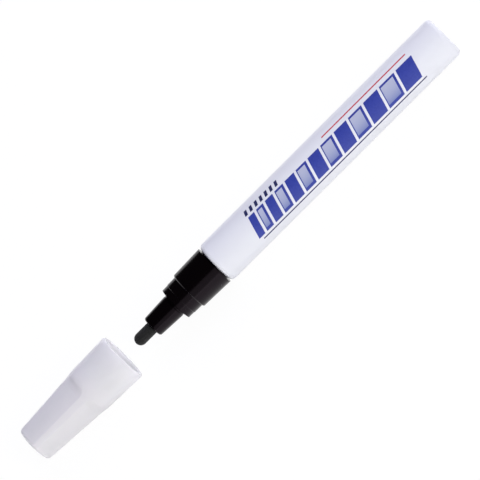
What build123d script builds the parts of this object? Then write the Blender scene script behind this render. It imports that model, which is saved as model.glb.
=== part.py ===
from build123d import *
import math
import os

# A paint marker with a press-to-open valve, lying on its side, with its cap pulled off in front.
# The marker's axis runs along X with the nib towards -X, and the part stands on the plane Z = 0.
# Until the last section every piece is drawn on the X axis, with X = 0 at the barrel's front rim.

# Barrel: an extruded aluminium can, closed at the rear, its front lip turned in over the plug
barrel_diameter = 15.0
barrel_length = 102.0
barrel_wall = 0.45
barrel_end_wall = 0.9
barrel_rear_radius = 1.6
barrel_shoulder_radius = 1.5
barrel_lip_flat = 0.25

# Nib: a fibre rod with a bullet tip, and how far it can be pressed in
nib_diameter = 4.25
nib_exposed = 7.25
nib_rear_chamfer = 0.3
nib_press = 2.0

# Nib holder: the nose, whose spigot is pushed into the collar moulding
nose_wall = 1.985
nose_draft = 0.46
nose_length = 10.1
nose_front_radius = 0.75
nose_neck_depth = 0.12
nose_neck_width = 0.7
nose_spigot_setback = 0.28
nose_spigot_length = 8.0
nose_spigot_chamfer = 0.4
nose_well_length = 4.5
nose_well_step = 0.6
nose_bore_clearance = 0.05
vent_count = 4
vent_width = 0.8
vent_depth = 0.4

# Collar moulding: the land that the cap seals on, the collar behind it and the plug in the barrel
land_step = 2.015
land_length = 6.2
land_draft = 0.045
land_lead_length = 2.7
land_lead_step = 0.12
land_face_cone = 0.45
land_face_flat = 0.35
collar_length = 11.55
collar_step = 0.65
collar_flare = 0.325
collar_chamfer = 0.3
collar_gap = 0.45
spigot_fit = 0.02
spigot_end_gap = 0.5
neck_clearance = 0.03
neck_wall = 0.92
plug_length = 12.0
plug_gap = 0.2
plug_chamfer = 0.5
plug_rib_count = 3
plug_rib_fit = 0.02
plug_rib_crest = 0.5
plug_rib_spacing = 2.6
plug_rib_first = 2.0
lip_clearance = 0.02

# Valve cartridge: the housing in the plug, the soft seat, the stem, its spring and the retainer
housing_fit = 0.02
housing_wall = 0.8
housing_front_wall = 1.4
housing_flange_length = 1.0
housing_flange_step = 0.8
seat_opening_share = 0.45
seat_length = 1.4
seat_bevel = 0.5
seat_fit = 0.02
seat_clearance = 0.03
poppet_height = 1.6
poppet_gap = 0.45
stem_reach = 4.0
stem_blade_gap = 0.5
stem_blade_thickness = 0.8
stem_core_diameter = 1.2
guide_diameter = 2.2
guide_length = 5.0
guide_tip_chamfer = 0.3
spring_length = 8.5
spring_turns = 5.5
spring_wire = 0.45
spring_guide_gap = 0.4
spring_end_gap = 0.03
retainer_length = 2.2
retainer_disc = 1.2
retainer_rim = 0.6
retainer_recess = 0.4
retainer_fit = 0.02
retainer_bore_gap = 0.35
retainer_port_count = 6
retainer_port_share = 0.6

# Mixing ball: loose in the paint, shown lying on the barrel's lowest line
ball_diameter = 8.0
ball_clearance = 0.05
ball_end_clearance = 0.2
ball_rest_share = 0.55

# Cap: a moulded shell with a skirt over the collar and four shallow panels on its closed half
cap_length = 40.2
cap_wall = 1.33
cap_clearance = 0.12
cap_stop_clearance = 0.1
cap_seat_gap = 0.15
cap_rest_gap = 5.8
cap_skirt_length = 15.0
cap_skirt_draft = 0.37
cap_shoulder_length = 2.4
cap_shoulder_step = 0.36
cap_shoulder_radius = 4.0
cap_body_draft = 1.46
cap_end_wall = 1.4
cap_end_radius = 1.4
cap_core_draft = 0.9
cap_core_radius = 0.8
cap_mouth_radius = 0.4
cap_mouth_lead = 0.3
panel_count = 4
panel_radius = 15.0
panel_wall = 0.72
panel_ramp_length = 4.0
panel_ramp_overlap = 0.6
panel_ramp_steps = 4
panel_end_radius = 1.2
panel_edge_lift = 0.03

# Cap liner: the inner cap that closes over the nose
liner_gap = 0.2
liner_flange = 1.0
liner_fit = 0.02
liner_ledge = 0.45
liner_clearance = 0.09
liner_wall = 0.7
liner_draft = 0.35
liner_lead = 0.35
liner_end_gap = 1.3
liner_end_radius = 0.9

# One overrun serves all cuts
overrun = 1.0

# Places along the axis, from the nib to the rear
collar_rear = -collar_gap
collar_front = collar_rear - collar_length
land_front = collar_front - land_length
nose_front = land_front - nose_length
nib_tip = nose_front - nib_exposed
spigot_rear = land_front + nose_spigot_length
plug_front = barrel_wall + lip_clearance
plug_rear = plug_front + plug_length
housing_rear = plug_rear + housing_flange_length
retainer_rear = housing_rear - retainer_recess
retainer_front = retainer_rear - retainer_length
poppet_rear = retainer_front - spring_length
seat_rear = poppet_rear - poppet_height
seat_front = seat_rear - seat_length
housing_front = seat_front - housing_front_wall
nib_rear = housing_front - stem_reach

# Radii from the nose out to the cap
nib_radius = nib_diameter / 2
nose_bore = nib_radius + nose_bore_clearance
nose_base_radius = nose_bore + nose_wall
nose_front_edge = nose_base_radius - nose_draft
spigot_radius = nose_base_radius - nose_spigot_setback
spigot_bore = spigot_radius + spigot_fit
land_radius = nose_base_radius + land_step
lead_radius = land_radius - land_draft - land_lead_step
collar_front_radius = land_radius + collar_step
collar_rear_radius = collar_front_radius + collar_flare

# Radii from the barrel in to the valve
barrel_radius = barrel_diameter / 2
barrel_bore = barrel_radius - barrel_wall
mouth_radius = barrel_radius - barrel_shoulder_radius - barrel_lip_flat
neck_radius = mouth_radius - neck_clearance
plug_radius = barrel_bore - plug_gap
plug_bore = neck_radius - neck_wall
housing_radius = plug_bore - housing_fit
housing_bore = housing_radius - housing_wall
seat_opening = seat_opening_share * housing_bore
poppet_radius = housing_bore - poppet_gap
guide_radius = guide_diameter / 2
wire_radius = spring_wire / 2
spring_radius = guide_radius + spring_guide_gap + wire_radius

# The cap's places when it is pushed home, and how far it was pulled off
cap_mouth = -cap_seat_gap
cap_closed = cap_mouth - cap_length
cap_skirt_end = cap_mouth - cap_skirt_length
cap_stop = collar_front - cap_stop_clearance
liner_mouth = land_front - liner_gap
liner_seat = liner_mouth - liner_flange
cap_travel = cap_mouth - (nib_tip - cap_rest_gap)
cap_bore = land_radius + cap_clearance
cap_mouth_bore = collar_rear_radius + cap_clearance
cap_mouth_edge = cap_mouth_bore + cap_wall
cap_skirt_edge = cap_mouth_edge - cap_skirt_draft
cap_body_start = cap_skirt_end - cap_shoulder_length
cap_body_edge = cap_skirt_edge - cap_shoulder_step
cap_closed_edge = cap_body_edge - cap_body_draft


def turned(outline, rounds=(), bevels=()):
    """Solid of revolution about the axis from (along, radius) corners, some rounded or bevelled."""
    profile = make_face(Polyline(*outline, close=True))
    for corner, radius in rounds:
        profile = fillet(profile.vertices().sort_by_distance(corner)[0], radius)
    for corner, size in bevels:
        profile = chamfer(profile.vertices().sort_by_distance(corner)[0], size)
    return revolve(profile, Axis.X)


def around(count, turn=0.0):
    """Turns about the axis for a pattern of equal features."""
    return [Rot(X=turn + 360 * index / count) for index in range(count)]


def make_barrel():
    shoulder = (0, barrel_radius)
    rear_edge = (barrel_length, barrel_radius)
    floor = barrel_length - barrel_end_wall
    rear_corner = (floor, barrel_bore)
    lip_corner = (barrel_wall, barrel_bore)
    outline = [
        (0, mouth_radius),
        shoulder,
        rear_edge,
        (barrel_length, 0),
        (floor, 0),
        rear_corner,
        lip_corner,
        (barrel_wall, mouth_radius),
    ]
    rounds = [
        (shoulder, barrel_shoulder_radius),
        (rear_edge, barrel_rear_radius),
        (rear_corner, barrel_rear_radius - barrel_wall),
        (lip_corner, barrel_shoulder_radius - barrel_wall),
    ]
    return turned(outline, rounds)


def make_front_collar():
    lead_rear = land_front + land_lead_length
    face_edge = spigot_bore + land_face_flat
    bore_step = spigot_rear + spigot_end_gap
    collar_edge = (collar_front, collar_front_radius)
    plug_edge = (plug_rear, plug_radius)
    rib_radius = barrel_bore - plug_rib_fit
    rib_flank = rib_radius - plug_radius
    outline = [
        (land_front, spigot_bore),
        (land_front, face_edge),
        (land_front + land_face_cone, lead_radius - land_draft),
        (lead_rear, lead_radius),
        (lead_rear + land_lead_step, land_radius - land_draft),
        (collar_front, land_radius),
        collar_edge,
        (collar_rear, collar_rear_radius),
        (collar_rear, neck_radius),
        (plug_front, neck_radius),
        (plug_front, plug_radius),
    ]
    for index in range(plug_rib_count):
        rib = plug_front + plug_rib_first + index * plug_rib_spacing
        outline += [
            (rib, plug_radius),
            (rib + rib_flank, rib_radius),
            (rib + rib_flank + plug_rib_crest, rib_radius),
            (rib + 2 * rib_flank + plug_rib_crest, plug_radius),
        ]
    outline += [
        plug_edge,
        (plug_rear, plug_bore),
        (bore_step, plug_bore),
        (bore_step, spigot_bore),
    ]
    rounds = [((plug_front, plug_radius), barrel_shoulder_radius - barrel_wall)]
    return turned(outline, rounds, [(collar_edge, collar_chamfer), (plug_edge, plug_chamfer)])


def make_nib_holder():
    well = nose_bore + nose_well_step
    well_front = spigot_rear - nose_well_length
    front_edge = (nose_front, nose_front_edge)
    spigot_edge = (spigot_rear, spigot_radius)
    outline = [
        (nose_front, nose_bore),
        front_edge,
        (land_front - nose_neck_width, nose_base_radius),
        (land_front - nose_neck_width / 2, nose_base_radius - nose_neck_depth),
        (land_front, nose_base_radius - nose_neck_depth),
        (land_front, spigot_radius),
        spigot_edge,
        (spigot_rear, well),
        (well_front, well),
        (well_front, nose_bore),
    ]
    holder = turned(outline, [(front_edge, nose_front_radius)], [(spigot_edge, nose_spigot_chamfer)])
    # Vent slots beside the nib let air in as paint flows out
    slot_length = well_front - nose_front + 2 * overrun
    slot_height = nose_bore + vent_depth
    slot = Box(slot_length, vent_width, slot_height, align=(Align.MIN, Align.CENTER, Align.MIN))
    for turn in around(vent_count):
        holder -= turn * Pos(nose_front - overrun, 0, 0) * slot
    return holder


def make_nib():
    tip = make_face(
        [
            ThreePointArc(
                (nib_tip, 0),
                (nib_tip + nib_radius * (1 - math.sqrt(1 / 2)), nib_radius * math.sqrt(1 / 2)),
                (nib_tip + nib_radius, nib_radius),
            ),
            Polyline(
                (nib_tip + nib_radius, nib_radius),
                (nib_rear - nib_rear_chamfer, nib_radius),
                (nib_rear, nib_radius - nib_rear_chamfer),
                (nib_rear, 0),
                (nib_tip, 0),
            ),
        ]
    )
    return revolve(tip, Axis.X)


def make_valve_housing():
    flange = plug_bore + housing_flange_step
    outline = [
        (housing_front, seat_opening),
        (housing_front, housing_radius),
        (plug_rear, housing_radius),
        (plug_rear, flange),
        (housing_rear, flange),
        (housing_rear, housing_bore),
        (seat_front, housing_bore),
        (seat_front, seat_opening),
    ]
    return turned(outline)


def make_valve_seat():
    rim = housing_bore - seat_fit
    outline = [
        (seat_front, seat_opening),
        (seat_front, rim),
        (seat_rear, rim),
        (seat_rear, seat_opening + seat_bevel),
        (seat_rear - seat_bevel, seat_opening),
    ]
    return turned(outline)


def make_valve_stem():
    core = stem_core_diameter / 2
    closing_face = seat_rear + seat_clearance
    cone_edge = seat_opening + seat_bevel
    cone_start = closing_face - (cone_edge - core)
    guide_tip = (poppet_rear + guide_length, guide_radius)
    outline = [
        (nib_rear, 0),
        (nib_rear, core),
        (cone_start, core),
        (closing_face, cone_edge),
        (closing_face, poppet_radius),
        (poppet_rear, poppet_radius),
        (poppet_rear, guide_radius),
        guide_tip,
        (poppet_rear + guide_length, 0),
    ]
    stem = turned(outline, bevels=[(guide_tip, guide_tip_chamfer)])
    # Two crossed blades push on the nib and leave paint room to pass
    blade_reach = seat_opening - stem_blade_gap
    blade_end = closing_face - (cone_edge - blade_reach)
    blade = Box(
        blade_end - nib_rear,
        2 * blade_reach,
        stem_blade_thickness,
        align=(Align.MIN, Align.CENTER, Align.CENTER),
    )
    for turn in around(2 * 2)[:2]:
        stem += turn * Pos(nib_rear, 0, 0) * blade
    return stem


def coil_point(angle, start, pitch):
    """Place and direction on the spring's centre line at a winding angle."""
    rise = pitch / (2 * math.pi)
    place = Vector(start + rise * angle, spring_radius * math.cos(angle), spring_radius * math.sin(angle))
    heading = Vector(rise, -spring_radius * math.sin(angle), spring_radius * math.cos(angle))
    return place, heading.normalized()


def biarc(place_a, heading_a, place_b, heading_b):
    """Two arcs, tangent to each other, from one place and heading to another."""
    chord = place_b - place_a
    both = heading_a + heading_b
    square = 2 * (1 - heading_a.dot(heading_b))
    reach = chord.dot(both)
    handle = (math.sqrt(reach**2 + square * chord.dot(chord)) - reach) / square
    corner_a = place_a + heading_a * handle
    corner_b = place_b - heading_b * handle
    meeting = (corner_a + corner_b) * (1 / 2)
    return [
        TangentArc(place_a, meeting, tangent=heading_a),
        TangentArc(meeting, place_b, tangent=corner_b - corner_a),
    ]


def make_valve_spring():
    start = poppet_rear + spring_end_gap + wire_radius
    end = retainer_front - spring_end_gap - wire_radius
    pitch = (end - start) / spring_turns
    stops = [coil_point(math.pi * half, start, pitch) for half in range(round(2 * spring_turns) + 1)]
    arcs = []
    for stop_a, stop_b in zip(stops, stops[1:]):
        arcs += biarc(*stop_a, *stop_b)
    section = Plane(origin=stops[0][0], z_dir=stops[0][1]) * Circle(wire_radius)
    # The open gap between neighbouring turns, measured on points along the wire
    steps_shares = [0, 1 / 4, 1 / 2, 3 / 4]
    points = [arc @ share for arc in arcs for share in steps_shares]
    half_turn = 2 * len(steps_shares)
    gaps = [
        (point - other).length - spring_wire
        for index, point in enumerate(points)
        for other in points[index + half_turn :]
    ]
    print(f"valve spring: least gap to itself {min(gaps):.2f} mm")
    return sweep(section, path=Wire(arcs))


def make_spring_retainer():
    rim = housing_bore - retainer_fit
    hole = guide_radius + retainer_bore_gap
    disc_rear = retainer_front + retainer_disc
    outline = [
        (retainer_front, hole),
        (retainer_front, rim),
        (retainer_rear, rim),
        (retainer_rear, rim - retainer_rim),
        (disc_rear, rim - retainer_rim),
        (disc_rear, hole),
    ]
    retainer = turned(outline)
    # Paint ports on a ring between the spring's outside and the rim
    spring_edge = spring_radius + wire_radius
    port_ring = (spring_edge + rim - retainer_rim) / 2
    port_radius = retainer_port_share * (rim - retainer_rim - spring_edge) / 2
    port = Plane.YZ * Cylinder(port_radius, 2 * retainer_length)
    for turn in around(retainer_port_count):
        retainer -= turn * Pos(retainer_front, 0, port_ring) * port
    return retainer


def make_mixing_ball():
    ball_radius = ball_diameter / 2
    first = housing_rear + ball_end_clearance + ball_radius
    last = barrel_length - barrel_end_wall - ball_end_clearance - ball_radius
    rest = first + ball_rest_share * (last - first)
    print(f"mixing ball: {first - rest:.3f} to {last - rest:.3f} mm from rest")
    return Pos(rest, 0, ball_radius + ball_clearance - barrel_bore) * Sphere(ball_radius)


def make_cap_shell():
    core_floor = cap_closed + cap_end_wall
    ledge = cap_bore - liner_ledge
    core_edge = ledge - cap_core_draft
    mouth_edge = (cap_mouth, cap_mouth_edge)
    mouth_inner = (cap_mouth, cap_mouth_bore)
    skirt_edge = (cap_skirt_end, cap_skirt_edge)
    body_edge = (cap_body_start, cap_body_edge)
    closed_edge = (cap_closed, cap_closed_edge)
    core_corner = (core_floor, core_edge)
    outline = [
        mouth_inner,
        mouth_edge,
        skirt_edge,
        body_edge,
        closed_edge,
        (cap_closed, 0),
        (core_floor, 0),
        core_corner,
        (liner_seat, ledge),
        (liner_seat, cap_bore),
        (cap_stop, cap_bore),
        (cap_stop, collar_front_radius + cap_clearance),
    ]
    rounds = [
        (mouth_edge, cap_mouth_radius),
        (skirt_edge, cap_shoulder_radius),
        (body_edge, cap_shoulder_radius),
        (closed_edge, cap_end_radius),
        (core_corner, cap_core_radius),
    ]
    shell = turned(outline, rounds, [(mouth_inner, cap_mouth_lead)])
    # Each panel is turned about an axis of its own, far behind the cap's, so it is nearly flat.
    # Between two panels a strip of the round body stays as a rib.
    panel_setback = panel_radius - (cap_bore + panel_wall)
    ramp_top = cap_skirt_end + panel_ramp_overlap
    ramp_foot = ramp_top - panel_ramp_length
    panel_end = (cap_closed - panel_edge_lift, panel_setback + core_edge + panel_wall)
    panel = Pos(0, 0, -panel_setback) * turned(
        [
            (ramp_foot, 0),
            (ramp_foot, panel_radius),
            panel_end,
            (cap_closed - panel_edge_lift, 0),
        ],
        [(panel_end, panel_end_radius)],
    )
    # Towards the skirt the panel's circle grows smoothly into the skirt's own circle
    sections = []
    for step in range(panel_ramp_steps + 1):
        share = step / panel_ramp_steps
        blend = share**2 * (3 - 2 * share)
        radius = panel_radius + blend * (cap_skirt_edge + panel_edge_lift - panel_radius)
        centre = Vector(ramp_foot + share * panel_ramp_length, 0, (blend - 1) * panel_setback)
        sections.append(Plane(centre, x_dir=(0, 1, 0), z_dir=(1, 0, 0)) * Circle(radius))
    panel += loft(sections)
    panel += turned(
        [
            (ramp_top, 0),
            (ramp_top, cap_mouth_edge + overrun),
            (cap_mouth + overrun, cap_mouth_edge + overrun),
            (cap_mouth + overrun, 0),
        ]
    )
    for turn in around(panel_count):
        shell &= turn * panel
    return shell


def make_cap_liner():
    bore = nose_base_radius + liner_clearance
    tube = bore + liner_wall
    flange = cap_bore - liner_fit
    end = cap_closed + cap_end_wall + liner_end_gap
    floor = end + liner_wall
    end_edge = (end, tube - liner_draft)
    outline = [
        (liner_mouth, bore + liner_lead),
        (liner_mouth, flange),
        (liner_seat, flange),
        (liner_seat, tube),
        end_edge,
        (end, 0),
        (floor, 0),
        (floor, bore - liner_draft),
        (liner_mouth - liner_lead, bore),
    ]
    return turned(outline, [(end_edge, liner_end_radius)])


cap_off = Pos(-cap_travel, 0, 0)
pieces = {
    "barrel": make_barrel(),
    "front_collar": make_front_collar(),
    "nib_holder": make_nib_holder(),
    "nib": make_nib(),
    "valve_housing": make_valve_housing(),
    "valve_seat": make_valve_seat(),
    "valve_stem": make_valve_stem(),
    "valve_spring": make_valve_spring(),
    "spring_retainer": make_spring_retainer(),
    "mixing_ball": make_mixing_ball(),
    "cap_shell": cap_off * make_cap_shell(),
    "cap_liner": cap_off * make_cap_liner(),
}

# The part's own frame: middle of its length and width, standing on the cap's mouth
middle = (cap_closed - cap_travel + barrel_length) / 2
axis_height = -pieces["cap_shell"].bounding_box().min.Z
place = Pos(-middle, 0, axis_height)

os.makedirs("parts", exist_ok=True)
for name, piece in pieces.items():
    export_step(place * piece, f"parts/{name}.step")

print(f"cap travel {cap_travel:.3f} mm, axis {axis_height:.4f} mm up, rim at X = {-middle:.3f} mm")
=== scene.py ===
# %% [markdown]
# A paint marker with its cap pulled off. The solids come from the CAD model, in metres, and this
# lesson dresses them: a camera, a studio, and a finish for each material the maker would order.

# %% Load the marker's solids
import math

import bmesh
import bpy
from mathutils import Matrix, Vector


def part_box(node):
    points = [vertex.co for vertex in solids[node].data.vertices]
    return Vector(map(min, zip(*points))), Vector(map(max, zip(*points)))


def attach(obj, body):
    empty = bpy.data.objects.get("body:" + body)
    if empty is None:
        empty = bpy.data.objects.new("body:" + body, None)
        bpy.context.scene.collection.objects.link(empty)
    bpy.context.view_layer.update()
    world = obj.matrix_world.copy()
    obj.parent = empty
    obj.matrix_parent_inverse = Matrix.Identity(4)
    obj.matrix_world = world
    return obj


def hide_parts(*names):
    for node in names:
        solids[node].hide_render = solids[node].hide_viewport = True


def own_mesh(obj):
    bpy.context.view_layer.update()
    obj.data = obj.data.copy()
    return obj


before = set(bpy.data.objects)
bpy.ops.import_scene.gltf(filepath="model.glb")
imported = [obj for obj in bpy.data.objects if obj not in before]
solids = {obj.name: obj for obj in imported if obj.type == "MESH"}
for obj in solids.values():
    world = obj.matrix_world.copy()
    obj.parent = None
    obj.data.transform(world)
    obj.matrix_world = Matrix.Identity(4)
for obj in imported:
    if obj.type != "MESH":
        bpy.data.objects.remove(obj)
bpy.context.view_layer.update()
print("solids:", sorted(solids))

# %% [markdown]
# Everything is placed from the marker's own axis. The barrel's box gives its rim, its radius and
# the height of the axis, so nothing has to be typed twice. MM turns millimetres into metres.

# %% Find the marker's axis
MM = 0.001
barrel_low, barrel_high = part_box("barrel")
rim_x = barrel_low.x
axis_z = (barrel_low.z + barrel_high.z) / 2
barrel_radius = (barrel_high.z - barrel_low.z) / 2
print(f"rim at {rim_x / MM:.2f} mm, axis {axis_z / MM:.2f} mm up")
print(f"barrel radius {barrel_radius / MM:.2f} mm")

# %% [markdown]
# A catalogue photograph of a pen uses a long lens from far away, so that the barrel keeps one
# width. The camera looks down steeply, stands a little towards the rear end, and is rolled until
# the marker runs up to the right. It could be turned by three angles, but it is easier to read when
# its matrix is built from columns: its right, its up and its backward direction.

# %% Place the camera
PHOTO_PIXELS = 480
PIXEL_MM = 0.3151
LENS_DISTANCE_MM = 1200.0
SENSOR_MM = 36.0
LOOK_DOWN = math.radians(50.0)
LOOK_FROM_REAR = math.radians(4.0)
ROLL = math.radians(44.95)
AIM_FROM_RIM_MM = 10.87
AIM_BELOW_AXIS_MM = 0.05

aim = Vector((rim_x + AIM_FROM_RIM_MM * MM, 0, axis_z))
backward = Vector((
    math.sin(LOOK_FROM_REAR),
    -math.cos(LOOK_FROM_REAR) * math.cos(LOOK_DOWN),
    math.cos(LOOK_FROM_REAR) * math.sin(LOOK_DOWN),
))
along = Vector((1, 0, 0))
along = (along - along.dot(backward) * backward).normalized()
across = backward.cross(along)
right = math.cos(ROLL) * along - math.sin(ROLL) * across
up = math.sin(ROLL) * along + math.cos(ROLL) * across
aim -= across * AIM_BELOW_AXIS_MM * MM
stand = aim + backward * LENS_DISTANCE_MM * MM

lens = bpy.data.cameras.new("long_lens")
lens.sensor_width = SENSOR_MM
lens.lens = SENSOR_MM * LENS_DISTANCE_MM / (PHOTO_PIXELS * PIXEL_MM)
camera = bpy.data.objects.new("camera", lens)
camera.matrix_world = Matrix((
    (right.x, up.x, backward.x, stand.x),
    (right.y, up.y, backward.y, stand.y),
    (right.z, up.z, backward.z, stand.z),
    (0, 0, 0, 1),
))
bpy.context.scene.collection.objects.link(camera)
bpy.context.scene.camera = camera
bpy.context.scene.view_settings.view_transform = "Standard"
print(f"lens {lens.lens:.0f} mm")

# %% [markdown]
# Every finish is a small tree of shader nodes. A few helpers keep the trees short: they turn an
# sRGB hex value into the linear colour that a socket takes, add any node with its settings and
# links, start and close a material, and put it on solids. A pattern's scale is the number of its
# cells in one metre, so it is worked out from the size of a cell in millimetres.

# %% Helpers for finishes
def linear(hex_value):
    """Linear colour of an sRGB hex value."""
    channels = [int(hex_value[start:start + 2], 16) / 255 for start in (1, 3, 5)]
    # The two branches are the sRGB standard's own: a short straight foot, then a power curve
    return [c / 12.92 if c <= 0.04045 else ((c + 0.055) / 1.055) ** 2.4 for c in channels] + [1.0]


def add_node(tree, kind, inputs=None, **settings):
    """Add a node, set its properties, and set or link its inputs."""
    made = tree.nodes.new(kind)
    for name, value in settings.items():
        setattr(made, name, value)
    for name, value in (inputs or {}).items():
        if isinstance(value, bpy.types.NodeSocket):
            tree.links.new(value, made.inputs[name])
        else:
            made.inputs[name].default_value = value
    return made


def start_finish(name):
    """A new material with an empty tree, and its object coordinates."""
    finish = bpy.data.materials.new(name)
    finish.use_nodes = True
    finish.node_tree.nodes.clear()
    place = add_node(finish.node_tree, "ShaderNodeTexCoord").outputs["Object"]
    return finish, finish.node_tree, place


def close_finish(tree, shader):
    """Join the last shader to the material's output."""
    add_node(tree, "ShaderNodeOutputMaterial", {"Surface": shader.outputs[0]})


def cells(size_mm):
    """Pattern scale for cells of this size."""
    return 1 / (size_mm * MM)


def dress(finish, *names):
    """Give CAD solids this finish."""
    for name in names:
        mesh = solids[name].data
        mesh.materials.clear()
        mesh.materials.append(finish)
    print(finish.name, "on", ", ".join(names))


# %% [markdown]
# The barrel is an aluminium can with a white stoving lacquer. Such a coat is smooth and fairly
# glossy, with a very slight orange peel of about two millimetres, and its white leans a little to
# blue. The peel goes into the bump, and a faint mottling of the roughness keeps the reflections
# from looking like glass.

# %% White stoving lacquer
PEEL_MM = 1.8
PEEL_DEPTH_MM = 0.02
MOTTLE_MM = 9.0

lacquer, tree, place = start_finish("white stoving lacquer")
peel = add_node(tree, "ShaderNodeTexNoise", {
    "Vector": place,
    "Scale": cells(PEEL_MM),
    "Detail": 2.0,
})
peel_bump = add_node(tree, "ShaderNodeBump", {
    "Strength": 0.05,
    "Distance": PEEL_DEPTH_MM * MM,
    "Height": peel.outputs["Fac"],
})
mottle = add_node(tree, "ShaderNodeTexNoise", {
    "Vector": place,
    "Scale": cells(MOTTLE_MM),
    "Detail": 3.0,
})
gloss = add_node(tree, "ShaderNodeMapRange", {
    "Value": mottle.outputs["Fac"],
    "To Min": 0.29,
    "To Max": 0.4,
})
close_finish(tree, add_node(tree, "ShaderNodeBsdfPrincipled", {
    "Base Color": linear("#E3E4E7"),
    "Roughness": gloss.outputs["Result"],
    "IOR": 1.5,
    "Normal": peel_bump.outputs["Normal"],
}))
dress(lacquer, "barrel")

# %% [markdown]
# The print and the studio's sheet aren't in the CAD model, and the spring is wound anew, so these
# are shaped here with bmesh, which works on a mesh outside the scene. This helper then makes the
# object that shows it. The object stays at the origin, because a piece's place is in its mesh.

# %% Helper for new objects
def make_object(name, shape, finish):
    """Turn a finished bmesh into an object of the scene, smoothly shaded."""
    mesh = bpy.data.meshes.new(name)
    shape.to_mesh(mesh)
    shape.free()
    mesh.shade_smooth()
    mesh.materials.append(finish)
    made = bpy.data.objects.new(name, mesh)
    bpy.context.scene.collection.objects.link(made)
    print(f"{name}: {len(mesh.polygons)} faces of {finish.name}")
    return made


# %% [markdown]
# The can is screen printed before it is filled. Its design is a plain one made for this part:
# slanted blue bars that grow towards the rear, every second one with a silver field, between a navy
# rule below and a red rule and a row of ticks above. The inks are opaque and a little less glossy
# than the lacquer, and the screen's mesh leaves a faint unevenness in tone and sheen.

# %% Helper for the inks
SCREEN_MM = 0.6


def screen_ink(name, tone, worn_tone):
    """An opaque ink with the faint unevenness that a screen leaves."""
    ink, tree, place = start_finish(name)
    screen = add_node(tree, "ShaderNodeTexNoise", {
        "Vector": place,
        "Scale": cells(SCREEN_MM),
        "Detail": 3.0,
    })
    tones = add_node(tree, "ShaderNodeMix", {
        "Factor": screen.outputs["Fac"],
        "A": linear(tone),
        "B": linear(worn_tone),
    }, data_type="RGBA")
    sheen = add_node(tree, "ShaderNodeMapRange", {
        "Value": screen.outputs["Fac"],
        "To Min": 0.32,
        "To Max": 0.48,
    })
    close_finish(tree, add_node(tree, "ShaderNodeBsdfPrincipled", {
        "Base Color": tones.outputs["Result"],
        "Roughness": sheen.outputs["Result"],
        "IOR": 1.48,
    }))
    return ink


# %% [markdown]
# The print could be a pattern in the lacquer's material, but films of ink keep sharp edges in every
# view. A patch of ink is laid out flat in millimetres, along the can from its rim and around it
# from the line that faces the camera. It is leaned over, bent round the can, and given a thickness
# that reaches a little into the lacquer, so that each film is a closed body.

# %% Helper for the films
PRINT_LEAN = math.tan(math.radians(16))
PRINT_FACING = math.pi / 2 - LOOK_DOWN
PATCH_ROWS = 16
FILM_MM = 0.03
FILM_EDGE_ANGLE = math.radians(40)


def print_patches(name, ink, patches, proud_mm):
    """Bend leaned rectangles (along, around, length, height), in millimetres, round the can."""
    film = bmesh.new()
    for along_mm, around_mm, length_mm, height_mm in patches:
        # Each patch starts as a unit square, and the size is half of its side
        patch = bmesh.ops.create_grid(film, x_segments=1, y_segments=PATCH_ROWS, size=0.5)["verts"]
        bmesh.ops.transform(film, verts=patch, matrix=Matrix((
            (length_mm, -PRINT_LEAN * height_mm, 0, along_mm),
            (0, height_mm, 0, around_mm),
            (0, 0, 1, 0),
            (0, 0, 0, 1),
        )))
    radius = barrel_radius + proud_mm * MM
    for vert in film.verts:
        turn = PRINT_FACING + vert.co.y * MM / radius
        vert.co = (
            rim_x + vert.co.x * MM,
            -radius * math.sin(turn),
            axis_z + radius * math.cos(turn),
        )
    # The faces are turned first, so that the thickness grows into the can
    bmesh.ops.reverse_faces(film, faces=film.faces[:])
    bmesh.ops.solidify(film, geom=film.faces[:], thickness=FILM_MM * MM)
    bmesh.ops.recalc_face_normals(film, faces=film.faces[:])
    printed = make_object(name, film, ink)
    printed.data.set_sharp_from_angle(angle=FILM_EDGE_ANGLE)
    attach(printed, "barrel_body")
    radii = [math.hypot(v.co.y, v.co.z - axis_z) / MM for v in printed.data.vertices]
    print(f"{name}: {len(patches)} patches, radius {min(radii):.3f} to {max(radii):.3f} mm")


# %% [markdown]
# Thirteen bars fill the printed length. Their widths grow in equal steps and the gaps between them
# are equal too, so a short loop lays them out, each from where the last one ends.

# %% Print the bars
BAR_COUNT = 13
BARS_START_MM = 17.0
BAR_FIRST_MM = 2.6
BAR_GROWTH_MM = 0.35
BAR_GAP_MM = 0.9
BAR_HEIGHT_MM = 7.6
BARS_AROUND_MM = 0.6
INK_PROUD_MM = 0.02

bars = []
bar_start = BARS_START_MM
for index in range(BAR_COUNT):
    bar_length = BAR_FIRST_MM + index * BAR_GROWTH_MM
    bars.append((bar_start + bar_length / 2, BARS_AROUND_MM, bar_length, BAR_HEIGHT_MM))
    bar_start += bar_length + BAR_GAP_MM
bars_end = bar_start - BAR_GAP_MM
print(f"bars from {BARS_START_MM} to {bars_end:.1f} mm behind the rim")

blue = screen_ink("blue screen ink", "#2B378C", "#3A48A4")
print_patches("print_blue", blue, bars, INK_PROUD_MM)

# %% [markdown]
# Every second bar carries a silver field, smaller than the bar and set a little up and forward,
# which leaves a broader blue edge on the other two sides, like a shadow. The field's ink fades from
# silver at the top to blue-grey at the bottom, so its colour follows the height. It stands a little
# prouder than the blue, because it is printed over it.

# %% Print the silver fields
FIELD_TRIM_ALONG_MM = 1.2
FIELD_TRIM_AROUND_MM = 1.8
FIELD_SHIFT_MM = 0.2
FADE_LOW_MM = 2.6
FADE_HIGH_MM = 7.2
FLAKE_MM = 0.25
SILVER_PROUD_MM = 0.03

fields = [
    (
        along_mm - FIELD_SHIFT_MM,
        around_mm - FIELD_SHIFT_MM,
        length_mm - FIELD_TRIM_ALONG_MM,
        height_mm - FIELD_TRIM_AROUND_MM,
    )
    for along_mm, around_mm, length_mm, height_mm in bars[1::2]
]

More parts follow.
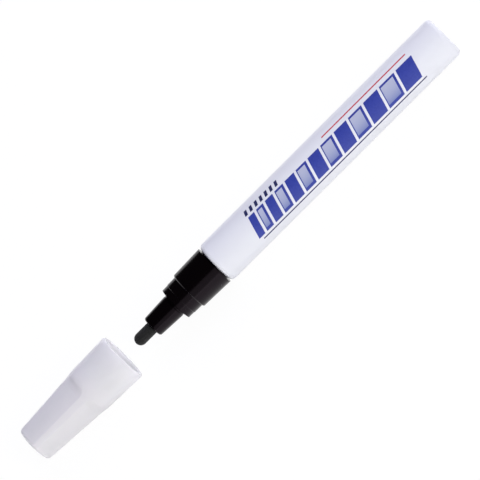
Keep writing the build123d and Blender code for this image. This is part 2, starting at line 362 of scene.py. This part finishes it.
silver, tree, place = start_finish("fading silver ink")
height = add_node(tree, "ShaderNodeSeparateXYZ", {"Vector": place}).outputs["Z"]
fade = add_node(tree, "ShaderNodeMapRange", {
    "Value": height,
    "From Min": axis_z + FADE_LOW_MM * MM,
    "From Max": axis_z + FADE_HIGH_MM * MM,
})
tones = add_node(tree, "ShaderNodeMix", {
    "Factor": fade.outputs["Result"],
    "A": linear("#6573AE"),
    "B": linear("#C3C8DC"),
}, data_type="RGBA")
flakes = add_node(tree, "ShaderNodeTexNoise", {
    "Vector": place,
    "Scale": cells(FLAKE_MM),
    "Detail": 2.0,
})
sheen = add_node(tree, "ShaderNodeMapRange", {
    "Value": flakes.outputs["Fac"],
    "To Min": 0.3,
    "To Max": 0.5,
})
close_finish(tree, add_node(tree, "ShaderNodeBsdfPrincipled", {
    "Base Color": tones.outputs["Result"],
    "Roughness": sheen.outputs["Result"],
    "Metallic": 0.15,
}))
print_patches("print_silver", silver, fields, SILVER_PROUD_MM)

# %% [markdown]
# The fine lines come last: a navy rule under the bars, a red rule over their rear half, and seven
# navy ticks over the front half. They are printed as the bars are, in two more inks.

# %% Print the rules and ticks
RULE_MM = 0.45
NAVY_AROUND_MM = 5.6
RED_AROUND_MM = -5.0
RED_START_MM = 52.0
TICK_COUNT = 7
TICKS_START_MM = BARS_START_MM + 1.5
TICK_MM = 1.1
TICK_PITCH_MM = 2.2
TICK_HEIGHT_MM = 2.0

navy = screen_ink("navy screen ink", "#1E2150", "#282C62")
navy_rule = ((BARS_START_MM + bars_end) / 2, NAVY_AROUND_MM, bars_end - BARS_START_MM, RULE_MM)
ticks = [
    (TICKS_START_MM + index * TICK_PITCH_MM, RED_AROUND_MM, TICK_MM, TICK_HEIGHT_MM)
    for index in range(TICK_COUNT)
]
print_patches("print_navy", navy, [navy_rule] + ticks, INK_PROUD_MM)

red = screen_ink("red screen ink", "#B92A3E", "#CC4050")
red_rule = ((RED_START_MM + bars_end) / 2, RED_AROUND_MM, bars_end - RED_START_MM, RULE_MM)
print_patches("print_red", red, [red_rule], INK_PROUD_MM)

# %% [markdown]
# The collar and the nose are black ABS from a polished mould. It is nearly black, with a clear
# gloss that only breaks up in fine flow marks along the moulding. A noise that a Mapping node draws
# out along X gives the marks, and they change the roughness alone.

# %% Black ABS
FLOW_MM = 0.8
FLOW_STRETCH = 4

black_abs, tree, place = start_finish("black moulded ABS")
stretch = add_node(tree, "ShaderNodeMapping", {
    "Vector": place,
    "Scale": (1 / FLOW_STRETCH, 1.0, 1.0),
})
flow = add_node(tree, "ShaderNodeTexNoise", {
    "Vector": stretch.outputs["Vector"],
    "Scale": cells(FLOW_MM),
    "Detail": 3.0,
})
gloss = add_node(tree, "ShaderNodeMapRange", {
    "Value": flow.outputs["Fac"],
    "To Min": 0.12,
    "To Max": 0.24,
})
close_finish(tree, add_node(tree, "ShaderNodeBsdfPrincipled", {
    "Base Color": linear("#040203"),
    "Roughness": gloss.outputs["Result"],
    "IOR": 1.54,
    "Specular IOR Level": 0.2,
    "Specular Tint": linear("#FFE8FC"),
}))
dress(black_abs, "front_collar", "nib_holder")

# %% [markdown]
# The nib is a rod of acrylic fibres bonded side by side, ground to a bullet tip. Dry, it is
# charcoal and fully matt. The fibres run along the axis, so a noise that is stretched along X gives
# both the streaks of colour and the ridges. Real fibres are finer, and are drawn as coarse as they
# need to show.

# %% Bonded acrylic fibre
FIBRE_MM = 0.16
FIBRE_STRETCH = 12.5
RIDGE_MM = 0.05

fibre, tree, place = start_finish("bonded acrylic fibre")
stretch = add_node(tree, "ShaderNodeMapping", {
    "Vector": place,
    "Scale": (1 / FIBRE_STRETCH, 1.0, 1.0),
})
strands = add_node(tree, "ShaderNodeTexNoise", {
    "Vector": stretch.outputs["Vector"],
    "Scale": cells(FIBRE_MM),
    "Detail": 2.0,
})
streaks = add_node(tree, "ShaderNodeMix", {
    "Factor": strands.outputs["Fac"],
    "A": linear("#151514"),
    "B": linear("#232321"),
}, data_type="RGBA")
ridges = add_node(tree, "ShaderNodeBump", {
    "Strength": 0.5,
    "Distance": RIDGE_MM * MM,
    "Height": strands.outputs["Fac"],
})
close_finish(tree, add_node(tree, "ShaderNodeBsdfPrincipled", {
    "Base Color": streaks.outputs["Result"],
    "Roughness": 0.9,
    "Sheen Weight": 0.15,
    "Normal": ridges.outputs["Normal"],
}))
dress(fibre, "nib")

# %% [markdown]
# The cap is moulded in white polypropylene. It is satin, and light goes a millimetre or two into it
# before it comes back, which softens the edges of the panels. Subsurface scattering does that. The
# skirt has no inner cap behind it, so more light gets through, and the depth of the scattering
# grows towards the mouth, which brightens the mouth's inside. A fine grain from the mould goes into
# the bump.

# %% White polypropylene
SKIRT_MM = 15.7
PANEL_DEPTH_MM = 1.5
SKIRT_DEPTH_MM = 5.5
GRAIN_MM = 0.5
GRAIN_DEPTH_MM = 0.02

mouth_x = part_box("cap_shell")[1].x
cap_plastic, tree, place = start_finish("white moulded polypropylene")
along_cap = add_node(tree, "ShaderNodeSeparateXYZ", {"Vector": place}).outputs["X"]
depth = add_node(tree, "ShaderNodeMapRange", {
    "Value": along_cap,
    "From Min": mouth_x - SKIRT_MM * MM,
    "From Max": mouth_x - SKIRT_MM * MM / 2,
    "To Min": PANEL_DEPTH_MM * MM,
    "To Max": SKIRT_DEPTH_MM * MM,
}, interpolation_type="SMOOTHSTEP")
grain = add_node(tree, "ShaderNodeTexNoise", {
    "Vector": place,
    "Scale": cells(GRAIN_MM),
    "Detail": 2.0,
})
grain_bump = add_node(tree, "ShaderNodeBump", {
    "Strength": 0.06,
    "Distance": GRAIN_DEPTH_MM * MM,
    "Height": grain.outputs["Fac"],
})
close_finish(tree, add_node(tree, "ShaderNodeBsdfPrincipled", {
    "Base Color": linear("#E0DEDE"),
    "Roughness": 0.42,
    "IOR": 1.49,
    "Subsurface Weight": 1.0,
    "Subsurface Radius": (1.0, 0.96, 1.0),
    "Subsurface Scale": depth.outputs["Result"],
    "Normal": grain_bump.outputs["Normal"],
}))
dress(cap_plastic, "cap_shell")

# %% [markdown]
# The inner cap is soft polyethylene, a little waxier and warmer than the shell. It needs less
# scattering, and a slow drift between two tones gives the waxy look.

# %% Natural polyethylene
WAX_MM = 3.0
WAX_DEPTH_MM = 1.0

liner_plastic, tree, place = start_finish("natural polyethylene")
wax = add_node(tree, "ShaderNodeTexNoise", {
    "Vector": place,
    "Scale": cells(WAX_MM),
    "Detail": 2.0,
})
tone = add_node(tree, "ShaderNodeMix", {
    "Factor": wax.outputs["Fac"],
    "A": linear("#D9D8D4"),
    "B": linear("#E6E5E2"),
}, data_type="RGBA")
close_finish(tree, add_node(tree, "ShaderNodeBsdfPrincipled", {
    "Base Color": tone.outputs["Result"],
    "Roughness": 0.5,
    "IOR": 1.51,
    "Subsurface Weight": 0.3,
    "Subsurface Radius": (1.0, 0.97, 0.92),
    "Subsurface Scale": WAX_DEPTH_MM * MM,
}))
dress(liner_plastic, "cap_liner")

# %% [markdown]
# Inside the barrel the valve's housing, stem and retainer are acetal, the usual plastic for small
# sliding parts. It is an opaque warm white with a low sheen, so it gets two close tones and no
# scattering.

# %% Natural acetal
CLOUD_MM = 1.5

acetal, tree, place = start_finish("natural acetal")
cloud = add_node(tree, "ShaderNodeTexNoise", {
    "Vector": place,
    "Scale": cells(CLOUD_MM),
    "Detail": 2.0,
})
tone = add_node(tree, "ShaderNodeMix", {
    "Factor": cloud.outputs["Fac"],
    "A": linear("#DAD6CB"),
    "B": linear("#E8E5DC"),
}, data_type="RGBA")
close_finish(tree, add_node(tree, "ShaderNodeBsdfPrincipled", {
    "Base Color": tone.outputs["Result"],
    "Roughness": 0.38,
    "IOR": 1.48,
}))
dress(acetal, "valve_housing", "valve_stem", "spring_retainer")

# %% [markdown]
# The valve shuts against a ring of nitrile rubber, black and matt with a fine bloom. The bloom
# dulls the surface in patches, so it goes into the roughness.

# %% Nitrile rubber
BLOOM_MM = 0.4

rubber, tree, place = start_finish("black nitrile rubber")
bloom = add_node(tree, "ShaderNodeTexNoise", {
    "Vector": place,
    "Scale": cells(BLOOM_MM),
    "Detail": 3.0,
})
dull = add_node(tree, "ShaderNodeMapRange", {
    "Value": bloom.outputs["Fac"],
    "To Min": 0.6,
    "To Max": 0.85,
})
close_finish(tree, add_node(tree, "ShaderNodeBsdfPrincipled", {
    "Base Color": linear("#1C1B1C"),
    "Roughness": dull.outputs["Result"],
    "IOR": 1.52,
}))
dress(rubber, "valve_seat")

# %% [markdown]
# The mixing ball is a hardened steel bearing ball. Tumbling leaves it bright, with a fine haze that
# is a small change of roughness on a metal.

# %% Bearing steel
HAZE_MM = 0.6

bearing_steel, tree, place = start_finish("tumbled bearing steel")
haze = add_node(tree, "ShaderNodeTexNoise", {
    "Vector": place,
    "Scale": cells(HAZE_MM),
    "Detail": 4.0,
})
shine = add_node(tree, "ShaderNodeMapRange", {
    "Value": haze.outputs["Fac"],
    "To Min": 0.08,
    "To Max": 0.22,
})
close_finish(tree, add_node(tree, "ShaderNodeBsdfPrincipled", {
    "Base Color": linear("#C9CACC"),
    "Metallic": 1.0,
    "Roughness": shine.outputs["Result"],
}))
dress(bearing_steel, "mixing_ball")

# %% [markdown]
# The valve spring is wound from steel wire. A ring of vertices, turned about the axis while it
# climbs, is exactly what a spring winder makes, and the spin operator does it in one step. The
# wire's two open ends are then filled, and its size comes from the box of the CAD spring.

# %% Wind the valve spring
SPRING_TURNS = 5.5
WIRE_RADIUS_MM = 0.225
WIRE_SIDES = 12
STEPS_A_TURN = 32

spring_low, spring_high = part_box("valve_spring")
wire = WIRE_RADIUS_MM * MM
coil_radius = (spring_high.y - spring_low.y) / 2 - wire
first_x = spring_low.x + wire
spring_steps = round(SPRING_TURNS * STEPS_A_TURN)
climb = (spring_high.x - spring_low.x - 2 * wire) / spring_steps

coil = bmesh.new()
ring = bmesh.ops.create_circle(coil, segments=WIRE_SIDES, radius=wire)["verts"]
bmesh.ops.translate(coil, verts=ring, vec=(first_x, coil_radius, axis_z))
bmesh.ops.spin(
    coil,
    geom=coil.verts[:] + coil.edges[:],
    cent=(0, 0, axis_z),
    axis=(1, 0, 0),
    dvec=(climb, 0, 0),
    angle=2 * math.pi * SPRING_TURNS,
    steps=spring_steps,
)
bmesh.ops.holes_fill(coil, edges=coil.edges[:], sides=WIRE_SIDES)
bmesh.ops.recalc_face_normals(coil, faces=coil.faces[:])
coil_xs = [vert.co.x / MM for vert in coil.verts]
print(f"wound spring from {min(coil_xs):.2f} to {max(coil_xs):.2f} mm")
print(f"CAD spring from {spring_low.x / MM:.2f} to {spring_high.x / MM:.2f} mm")

# %% [markdown]
# Drawing the wire leaves it bright, with fine marks that change the roughness.

# %% Drawn spring steel
DRAW_MM = 0.3

spring_steel, tree, place = start_finish("drawn spring steel")
draw = add_node(tree, "ShaderNodeTexNoise", {
    "Vector": place,
    "Scale": cells(DRAW_MM),
    "Detail": 3.0,
})
shine = add_node(tree, "ShaderNodeMapRange", {
    "Value": draw.outputs["Fac"],
    "To Min": 0.28,
    "To Max": 0.4,
})
close_finish(tree, add_node(tree, "ShaderNodeBsdfPrincipled", {
    "Base Color": linear("#B8B9BB"),
    "Metallic": 1.0,
    "Roughness": shine.outputs["Result"],
}))
wound_spring = make_object("wound_spring", coil, spring_steel)

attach(wound_spring, "barrel_body")
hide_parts("valve_spring")
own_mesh(wound_spring)

# %% [markdown]
# The studio is a white sheet and soft lamps. The sheet is mostly self-lit to the camera and in
# reflections, so that it reads as white paper, and the rest of it still takes the marker's soft
# shadow. More light on the sheet would do the same, but it would also wash out the white marker.

# %% Lay the white sheet
SHEET_METRES = 12.0
GLOW_SHARE = 0.93
GLOW_STRENGTH = 1.02

sheet_white, tree, _ = start_finish("white paper sheet")
path = add_node(tree, "ShaderNodeLightPath")
seen = path.outputs["Is Camera Ray"]
for other_ray in ("Is Glossy Ray", "Is Transmission Ray"):
    seen = add_node(tree, "ShaderNodeMath", {
        0: seen,
        1: path.outputs[other_ray],
    }, operation="MAXIMUM").outputs[0]
glow = add_node(tree, "ShaderNodeMath", {0: seen, 1: GLOW_SHARE}, operation="MULTIPLY")
paper = add_node(tree, "ShaderNodeBsdfDiffuse", {"Color": linear("#F2F2F2")})
lit = add_node(tree, "ShaderNodeEmission", {
    "Color": linear("#FFFFFF"),
    "Strength": GLOW_STRENGTH,
})
close_finish(tree, add_node(tree, "ShaderNodeMixShader", {
    0: glow.outputs[0],
    1: paper.outputs[0],
    2: lit.outputs[0],
}))

sheet = bmesh.new()
bmesh.ops.create_grid(sheet, x_segments=1, y_segments=1, size=SHEET_METRES / 2)
white_sheet = make_object("white_sheet", sheet, sheet_white)
print(f"sheet {SHEET_METRES:.0f} m wide, laid at z = 0")

# %% [markdown]
# A big softbox in front, low on the near side, lights the marker's lower flank and shows as the
# grey half of the black collar. The main one hangs beside the camera and another above the marker.
# Both stand a little towards the rear end, so that they also shine into the cap's mouth. The one
# above is slightly violet, which tints the far flank. A low strip lifts the cap's lower panels, and
# softboxes beyond the cap and behind fill in the rest. All but the first are kept out of
# reflections, as flags do in a studio, so that the black stays black. Distances and sizes are in
# metres, and a softbox's power follows from its brightness and its area.

# %% Hang the lamps
def hang_softbox(name, toward, distance, size, radiance, tint="#FFFFFF", in_reflections=False):
    """A rectangular softbox that faces the marker, with its brightness per area."""
    lamp = bpy.data.lights.new(name, "AREA")
    lamp.shape = "RECTANGLE"
    lamp.size, lamp.size_y = size
    lamp.energy = radiance * math.pi * size[0] * size[1]
    lamp.color = linear(tint)[:3]
    softbox = bpy.data.objects.new(name, lamp)
    direction = Vector(toward).normalized()
    softbox.location = aim + direction * distance
    softbox.rotation_euler = direction.to_track_quat("Z", "Y").to_euler()
    softbox.visible_glossy = in_reflections
    softbox.visible_camera = False
    bpy.context.scene.collection.objects.link(softbox)
    print(f"{name}: {lamp.energy:.1f} W")


hang_softbox(
    "front_softbox", toward=(0.1, -0.9, 0.32), distance=0.75,
    size=(1.6, 0.62), radiance=0.5, in_reflections=True,
)
hang_softbox(
    "camera_softbox", toward=(0.38, -0.66, 0.67), distance=1.0,
    size=(0.5, 0.7), radiance=4.9,
)
hang_softbox(
    "low_strip", toward=(-0.6, -0.95, 0.2), distance=0.85,
    size=(0.9, 0.32), radiance=0.75,
)
hang_softbox(
    "cap_end_softbox", toward=(-1.0, -0.3, 0.4), distance=0.9,
    size=(0.8, 0.6), radiance=1.65,
)
hang_softbox(
    "top_softbox", toward=(0.3, 0.25, 1.0), distance=0.9,
    size=(1.4, 0.9), radiance=0.95, tint="#C6C6FF",
)
hang_softbox(
    "back_softbox", toward=(0.8, 0.85, 0.6), distance=0.9,
    size=(1.0, 0.8), radiance=2.2,
)

# %% [markdown]
# The room behind the lamps is a pale band at the horizon that darkens overhead, the same for every
# ray, so that low views also end in white. The height of a ray's direction sets how bright it is.

# %% Set the room
BAND_TOP = 0.02
DARK_FROM = 0.12
DARK_STRENGTH = 0.03

room = bpy.data.worlds.new("pale_room")
room.use_nodes = True
tree = room.node_tree
tree.nodes.clear()
view = add_node(tree, "ShaderNodeTexCoord").outputs["Generated"]
height = add_node(tree, "ShaderNodeSeparateXYZ", {"Vector": view}).outputs["Z"]
fade = add_node(tree, "ShaderNodeMapRange", {
    "Value": height,
    "From Min": BAND_TOP,
    "From Max": DARK_FROM,
    "To Min": 1.0,
    "To Max": DARK_STRENGTH,
}, interpolation_type="SMOOTHSTEP")
sky = add_node(tree, "ShaderNodeBackground", {
    "Color": linear("#FFFFFF"),
    "Strength": fade.outputs["Result"],
})
add_node(tree, "ShaderNodeOutputWorld", {"Surface": sky.outputs[0]})
bpy.context.scene.world = room
print("room set")
